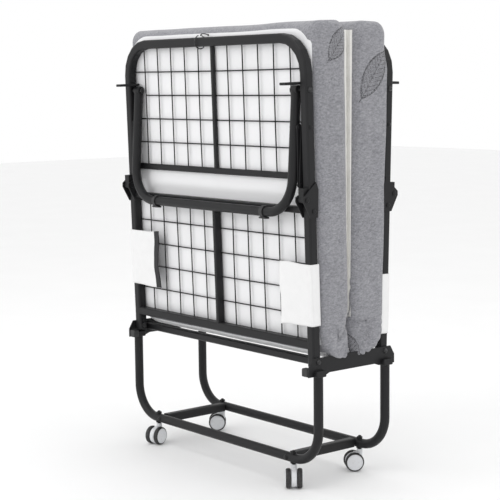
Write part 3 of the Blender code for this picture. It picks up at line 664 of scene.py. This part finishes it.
def makeWheels(corner, place, sideways, half):
    # Twin wheels: a soft tread with rounded shoulders, and a dished hub disc set in each
    width, radius = caster["width"], caster["wheel"]
    bm = bmesh.new()
    pin = [(0.0, half + 0.004), (0.0034, half + 0.004), (0.0034, -half - 0.004), (0.0, -half - 0.004)]
    spinProfile(bm, pin, sideways, 20)
    for sign in (1, -1):
        out = place @ sideways @ Matrix.Diagonal((1, 1, sign, 1)) @ Matrix.Translation((0, 0, half + 0.0006))
        out = place.inverted() @ out
        tread = [(0.0, 0.0), (0.0225, 0.0), (0.0248, 0.0012), (0.0258, 0.0034), (radius, 0.0062),
                 (0.0258, 0.0092), (0.0250, 0.0116), (0.0236, 0.0130), (0.0222, 0.0134),
                 (0.0218, 0.0118), (0.0, 0.0118)]
        spinProfile(bm, tread, out, 48)
        disc = [(0.0216, 0.0112), (0.0216, 0.0132), (0.0208, width - 0.0004), (0.0196, width),
                (0.0186, width - 0.0008), (0.0178, width - 0.0008), (0.0140, width - 0.0002),
                (0.0060, width), (0.0, width)]
        for face in spinProfile(bm, disc, out, 48):
            face.material_index = 1
    wheels = addObject(f"{corner}Wheels", bm, [treadRubber, casterGrey], place)
    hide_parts(f"caster_{corner}_wheels")
    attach(wheels, f"caster_{corner}_wheel")


for corner in ("front_left", "front_right", "back_left", "back_right"):
    makeCaster(corner)
print("casters finished")

# Mattress, folded in two round the cross rails

mattress = {
    "halfWidth": 0.4015,     # to the middle of the side panels
    "rounding": 0.026,       # how far the side panels stand beyond the corner seams
    "skin": 0.0142,          # outer face, behind the middle of the frame tubes
    "bottom": 0.0065,        # lowest point of the fold, below the main pivots
    "top": 0.864,            # above the main pivot
    "topGap": 0.0125,        # half the gap between the two halves at the top
    "pinch": 0.094,          # height of the fold's inner end above the pivots
    "cornerRadius": 0.034,
}


def halfOutline(spacing=0.0048):
    # The closed outline of one half in world (y, z), front half, anticlockwise seen from +X
    frontPlace = halfPlace("front")
    outerTop = frontPlace @ Vector((0, mattress["skin"], mattress["top"]))
    outerLow = frontPlace @ Vector((0, mattress["skin"], 0.105))
    low = pivotHeight - mattress["bottom"]
    pinchZ = pivotHeight + mattress["pinch"]
    corners = [Vector((0, -mattress["topGap"], outerTop.z)), Vector((0, outerTop.y, outerTop.z - 0.004))]
    path = arcPath([Vector((0, -mattress["topGap"], outerTop.z - 0.12)), *corners,
                    Vector((0, outerTop.y + 0.004, outerTop.z - 0.2))], mattress["cornerRadius"], 8)[1:-1]
    path.append(outerLow)
    # the fold: a quarter of an oval from the outer face to the middle
    for step in range(1, 17):
        turn = math.pi / 2 * step / 16
        path.append(Vector((0, outerLow.y * math.cos(turn) ** 0.65 if step < 16 else -0.0006,
                            outerLow.z - (outerLow.z - low) * math.sin(turn) ** 0.65)))
    path.append(Vector((0, -0.0006, pinchZ - 0.02)))
    path.append(Vector((0, -0.0030, pinchZ)))
    path.append(Vector((0, -0.0045, pinchZ + 0.13)))
    path.append(Vector((0, -0.0085, pinchZ + 0.353)))
    path.append(path[0].copy())
    return evenly(path, spacing)


def evenly(path, spacing):
    lengths = [(b - a).length for a, b in zip(path, path[1:])]
    total = sum(lengths)
    count = max(8, round(total / spacing))
    points, index, walked = [], 0, 0.0
    for step in range(count):
        target = total * step / count
        while walked + lengths[index] < target:
            walked += lengths[index]
            index += 1
        points.append(path[index].lerp(path[index + 1], (target - walked) / lengths[index]))
    return points


def medialPoint(point, outline):
    # The nearest point of the slab's middle line, where the side panel's rings close up
    low = pivotHeight + 0.052
    high = max(p.z for p in outline) - 0.058
    z = min(max(point.z, low), high)
    y = -0.0590 + 0.006 * (1 - (z - low) / (high - low)) - 0.0155 * (z - low) / (high - low)
    return Vector((0, y, z))


def sideShape(share):
    # How far the side panel stands out, from its seam (share 0) to its middle line (share 1)
    rise = min(share / 0.62, 1.0)
    return (1 - (1 - rise) ** 2.3) ** (1 / 2.0)


# Pleats that run from the fold's pinch: degrees from straight down, depth, half width in radians and reach
pleats = {
    "front": [(-3, 0.0096, 0.08, 0.105), (-13, 0.0072, 0.072, 0.100), (-24, 0.0064, 0.08, 0.085),
              (-37, 0.00352, 0.096, 0.080), (-52, 0.0096, 0.088, 0.072), (-68, 0.00352, 0.112, 0.055)],
    "back": [(3, 0.0088, 0.08, 0.105), (11, 0.0072, 0.072, 0.100), (20, 0.00608, 0.064, 0.100),
             (30, 0.0072, 0.072, 0.100), (41, 0.00672, 0.072, 0.105), (52, 0.0072, 0.072, 0.105),
             (63, 0.00576, 0.072, 0.100), (75, 0.0064, 0.08, 0.095), (88, 0.00736, 0.08, 0.085)],
}


def pleatDepth(side, y, z, outward):
    pinch = Vector((0.0, pivotHeight + mattress["pinch"] - 0.004))
    reach = Vector((y, z)) - pinch
    radius = reach.length
    angle = math.atan2(reach.x, -reach.y)
    depth = 0.0
    for degrees, amount, sharp, far in pleats[side]:
        centre = math.radians(degrees) + 0.9 * (radius - 0.05) * (1 if degrees > 25 else 0.2)
        nearFade = min(1.0, radius / 0.014)
        farFade = max(0.0, 1 - (radius / (far * 1.25)) ** 3)
        width = sharp * (0.8 + 0.25 / max(radius / 0.05, 0.35))
        depth += amount * math.exp(-((angle - centre) / width) ** 2) * nearFade * farFade
    dimple = 0.012 * math.exp(-(radius / 0.020) ** 2)
    return (depth + dimple) * outward


def pressNoise(place, scale):
    return noise.noise(place * scale)


def shapeMattress(side, x, point, share):
    # Moves one point of the plain loft: soft dents, the bulge between the cross tubes, pleats
    place = Vector((x, point.y, point.z))
    outward = min(1.0, max(0.0, (abs(x) - 0.30) / 0.07))
    moved = place.copy()
    moved += Vector((0.0012 * pressNoise(place, 9.0), 0.0013 * pressNoise(place + Vector((7, 3, 1)), 8.0),
                     0.0015 * pressNoise(place + Vector((2, 9, 4)), 7.0)))
    up = (point.z - pivotHeight)
    if share < 0.01:
        face = (halfPlace("front").inverted() @ Vector((0, point.y, point.z))).y - mattress["skin"]
        onOuter = max(0.0, 1 - abs(face) / 0.006)
        inside = max(0.0, 1 - (abs(x) / 0.352) ** 8)
        between = math.exp(-((up - 0.429) / 0.020) ** 2)
        moved.y -= onOuter * inside * (0.0065 * between + 0.0006)
        crown = max(0.0, (up - 0.80) / 0.06)
        moved.z += min(crown, 1.0) * (0.0045 * pressNoise(Vector((x, 0, 3.0)), 5.0) - 0.002)
    if x and outward:
        forward = point.y if side == "front" else -point.y
        moved.x -= math.copysign(pleatDepth(side, forward, point.z, outward), x)
    belly = math.exp(-((up - 0.03) / 0.05) ** 2)
    moved.x += math.copysign(0.0045 * belly * min(1.0, share * 3), x) if abs(x) > 0.36 else 0.0
    # the side panels hang lower than the middle, which lies on the cross rails
    edge = min(1.0, max(0.0, (abs(x) - 0.392) / 0.006))
    moved.z -= 0.0115 * edge * max(0.0, 1 - max(0.0, up) / 0.07)
    if abs(x) < 0.392 and abs(point.y) > 0.072 and up < 0.05:
        moved.z = max(moved.z, pivotHeight + 0.0038)
    if side == "back":
        face = (halfPlace("front").inverted() @ Vector((0, point.y, point.z))).y - mattress["skin"]
        over = min(1.0, max(0.0, (abs(x) - 0.3945) / 0.003))
        belowTop = min(1.0, max(0.0, (0.80 - up) / 0.06))
        moved.y -= 0.021 * over * max(0.0, 1 - max(0.0, face) / 0.045) * belowTop
    return moved


def paleShare(x, point, share):
    # 1 on the outer face and under the fold, 0 on the side panels and over the top edge
    face = (halfPlace("front").inverted() @ Vector((0, point.y, point.z))).y - mattress["skin"]
    if face > 0.006 and point.z > pivotHeight + 0.02:
        return 0.0
    across = max(abs(x) - 0.3185, 0.0)
    up = max(point.z - 1.115, 0.0)
    inside = min(1.0, max(0.0, 0.5 + (0.07 - math.hypot(across, up)) / 0.012))
    return inside * max(0.0, 1 - share / 0.12)


def makeMattressHalf(side):
    outline = halfOutline()
    seam = mattress["halfWidth"] - mattress["rounding"]
    stations = [-seam + 2 * seam * step / 64 for step in range(65)]
    shares = [0.03, 0.06, 0.09, 0.13, 0.17, 0.21, 0.26, 0.31, 0.36, 0.41, 0.46, 0.51, 0.57, 0.63, 0.69, 0.75,
              0.81, 0.87, 0.93]
    bm = bmesh.new()
    rings = []
    paleValues = []
    for sign, group in ((-1, shares[::-1]), (0, stations), (1, shares)):
        for value in group:
            share = 0.0 if sign == 0 else value
            x = value if sign == 0 else sign * (seam + mattress["rounding"] * sideShape(value))
            ring = []
            for point in outline:
                inward = point.lerp(medialPoint(point, outline), share)
                ring.append(bm.verts.new(shapeMattress(side, x, inward, share)))
                paleValues.append(paleShare(min(abs(x), seam), point, share))
            rings.append(ring)
    count = len(outline)
    for first, second in zip(rings, rings[1:]):
        for index in range(count):
            following = (index + 1) % count
            bm.faces.new((first[index], first[following], second[following], second[index]))
    for ring in (rings[0], rings[-1]):
        bm.faces.new(ring)
    if side == "back":
        # the back half is the front one seen in a mirror, so that both sides keep their own pleats
        bm.transform(Matrix.Diagonal((1, -1, 1, 1)))
    made = addObject(f"{side}MattressHalf", bm, [greyKnit], None, 60)
    rest(made)
    made.data.attributes.new("pale", "FLOAT", "POINT").data.foreach_set("value", paleValues)
    body = f"{side}_half"
    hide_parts(f"{side}_mattress")
    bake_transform(made)


for side in ("front", "back"):
    makeMattressHalf(side)
print("mattress finished")

panel = {"halfWidth": 0.385, "top": 1.180, "foot": 0.445, "thick": 0.0135}


def makeCreasePanel(side):
    # The pale quilted face of each half, seen only as a strip in the crease
    facing = -1 if side == "front" else 1
    bm = bmesh.new()
    rows, columns = 120, 64
    grids = []
    for layer in (0, 1):
        grid = []
        for row in range(rows + 1):
            rise = row / rows
            z = panel["foot"] + (panel["top"] - panel["foot"]) * rise
            line = []
            for column in range(columns + 1):
                share = 2 * column / columns - 1
                x = panel["halfWidth"] * share
                edge = max(0.0, 1 - (1 - abs(share)) / 0.035) ** 2
                endEdge = max(0.0, 1 - (1 - rise) / 0.03) ** 2 + max(0.0, 1 - rise / 0.03) ** 2
                outerY = 0.0050 + 0.0095 * rise
                quilting = 0.0004 * math.sin(x * 160) * math.sin(z * 160)
                innerY = 0.0007 + 0.0055 * min(1.0, edge + endEdge) + quilting
                y = outerY if layer == 0 else innerY
                line.append(bm.verts.new((x, facing * y, z)))
            grid.append(line)
        grids.append(grid)
    for grid in grids:
        for row in range(rows):
            for column in range(columns):
                bm.faces.new((grid[row][column], grid[row][column + 1], grid[row + 1][column + 1],
                              grid[row + 1][column]))
    outer, inner = grids
    for row in range(rows):
        for column in (0, columns):
            bm.faces.new((outer[row][column], outer[row + 1][column],
                          inner[row + 1][column], inner[row][column]))
    for column in range(columns):
        for row in (0, rows):
            bm.faces.new((outer[row][column], outer[row][column + 1],
                          inner[row][column + 1], inner[row][column]))
    made = addObject(f"{side}CreasePanel", bm, [creamKnit], None, 60)
    rest(made)
    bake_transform(made)


for side in ("front", "back"):
    makeCreasePanel(side)
print("crease panels finished")


def makeFoldFill():
    # Foam between the cross rails that joins the two halves under their crease
    low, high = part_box("mattress_fold")
    bm = bmesh.new()
    addBlock(bm, (low.x + 0.01, low.y + 0.006, low.z + 0.004),
             (high.x - 0.01, high.y - 0.006, high.z + 0.03), 0.02, 6)
    bmesh.ops.subdivide_edges(bm, edges=bm.edges[:], cuts=2, use_grid_fill=True)
    made = addObject("foldFill", bm, [greyKnit], None, 60)
    rest(made)
    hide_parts("mattress_fold")
    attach(made, "base")


makeFoldFill()

# Straps round the side tubes

strap = {"height": 0.158, "thick": 0.0022, "inner": {"left": 0.140, "right": 0.118},
         "tape": {"left": 0.020, "right": 0.0}}


def makeStrap(side, hand, sign):
    low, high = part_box(f"{side}_strap_{hand}")
    middle = (halfPlace(side).inverted() @ ((low + high) / 2)).z
    half = tube["radius"] + 0.0009
    outerX = tube["halfWidth"] + half
    tubeInside = tube["halfWidth"] - half
    rng = random.Random(f"strap{side}{hand}")
    sway = rng.uniform(0, 6.0)
    # the path in (x, y) from the free end beside the mesh, over the tube's face and round its outside
    corners = [(outerX - strap["inner"][hand], -0.0145), (tubeInside - 0.026, -0.0140),
               (tubeInside - 0.004, -half - 0.0008), (tube["halfWidth"], -half - 0.0008),
               (outerX - 0.002, -half), (outerX, -half + 0.002), (outerX, 0.0),
               (outerX - 0.0005, 0.0135)]
    path = evenly([Vector((x * sign, y, 0)) for x, y in corners], 0.0035)
    path.append(Vector((corners[-1][0] * sign, corners[-1][1], 0)))
    rows = 34
    bm = bmesh.new()
    grid = []
    for row in range(rows + 1):
        share = row / rows
        line = []
        for index, point in enumerate(path):
            run = index / (len(path) - 1)
            free = max(0.0, 1 - run / 0.62)
            wave = (0.0022 * free * math.sin(share * 8.5 + sway)
                    + 0.0010 * free * math.sin(share * 21 + sway * 2))
            lift = -0.0030 * free * free * abs(math.sin(share * 3.1))
            z = middle + (share - 0.5) * strap["height"] + 0.0022 * math.sin(run * 9 + sway) * free
            z += (share - 0.5) * 0.006 * free
            shift = 0.0025 * free * math.sin(share * 6.2 + sway)
            line.append(bm.verts.new((point.x + shift, point.y + lift + wave * 0.5, z)))
        grid.append(line)
    for lower, upper in zip(grid, grid[1:]):
        for index in range(len(path) - 1):
            face = bm.faces.new((lower[index], lower[index + 1], upper[index + 1], upper[index]))
            if index * 0.0035 < strap["tape"][hand]:
                face.material_index = 1
    made = addObject(f"{side}Strap{hand.title()}", bm, [strapWeb, hookTape], halfPlace(side), 60)
    thicken = made.modifiers.new("thickness", "SOLIDIFY")
    thicken.thickness = strap["thick"]
    thicken.offset = 0.0
    length = sum((b - a).length for a, b in zip(path, path[1:]))
    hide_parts(f"{side}_strap_{hand}")
    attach(made, f"{side}_half")


for side in ("front", "back"):
    for hand, sign in hands.items():
        makeStrap(side, hand, sign)
print("straps finished")

# Floor, light and camera

studio = {"world": 1.0}


def makeFloor():
    bm = bmesh.new()
    bmesh.ops.create_grid(bm, x_segments=1, y_segments=1, size=14.0)
    material = makeMaterial("floorPaint", lambda shade: {
        "Base Color": shade.mix(shade.grain(shade.place(), 3.0), (0.93, 0.93, 0.93, 1),
                                (0.90, 0.90, 0.90, 1))}, Roughness=0.7)
    floor = addObject("studioFloor", bm, [material])


def makeLight(name, place, target, size, power):
    light = bpy.data.lights.new(name, "AREA")
    light.shape = "DISK"
    light.size = size
    light.energy = power
    obj = bpy.data.objects.new(name, light)
    obj.location = place
    obj.rotation_euler = (Vector(target) - Vector(place)).to_track_quat("-Z", "Y").to_euler()
    bpy.context.scene.collection.objects.link(obj)


def makeCamera():
    camera = bpy.data.cameras.new("studioCamera")
    camera.sensor_width = 36.0
    camera.lens = 1407.4 * 36.0 / 500.0
    camera.clip_end = 60.0
    obj = bpy.data.objects.new("studioCamera", camera)
    aim = Vector((-0.7689, 0.6284, -0.1177))
    turn = aim.to_track_quat("-Z", "Y").to_matrix().to_4x4() @ Matrix.Rotation(math.radians(-0.61), 4, "Z")
    obj.matrix_world = Matrix.Translation((3.009, -2.472, 1.0485)) @ turn
    bpy.context.scene.collection.objects.link(obj)
    bpy.context.scene.camera = obj


makeFloor()
makeLight("keyLight", (-1.2, -3.6, 2.6), (0, 0, 0.6), 2.4, 30)
makeLight("sideLight", (3.6, 0.8, 2.4), (0, 0, 0.6), 2.2, 8)
makeLight("topLight", (0.3, 0.2, 3.6), (0, 0, 0.5), 2.6, 15)
world = bpy.data.worlds.new("studioWorld")
world.use_nodes = True
world.node_tree.nodes["Background"].inputs["Color"].default_value = (1, 1, 1, 1)
world.node_tree.nodes["Background"].inputs["Strength"].default_value = studio["world"]
bpy.context.scene.world = world
bpy.context.scene.view_settings.view_transform = "Standard"
makeCamera()
print("studio finished")
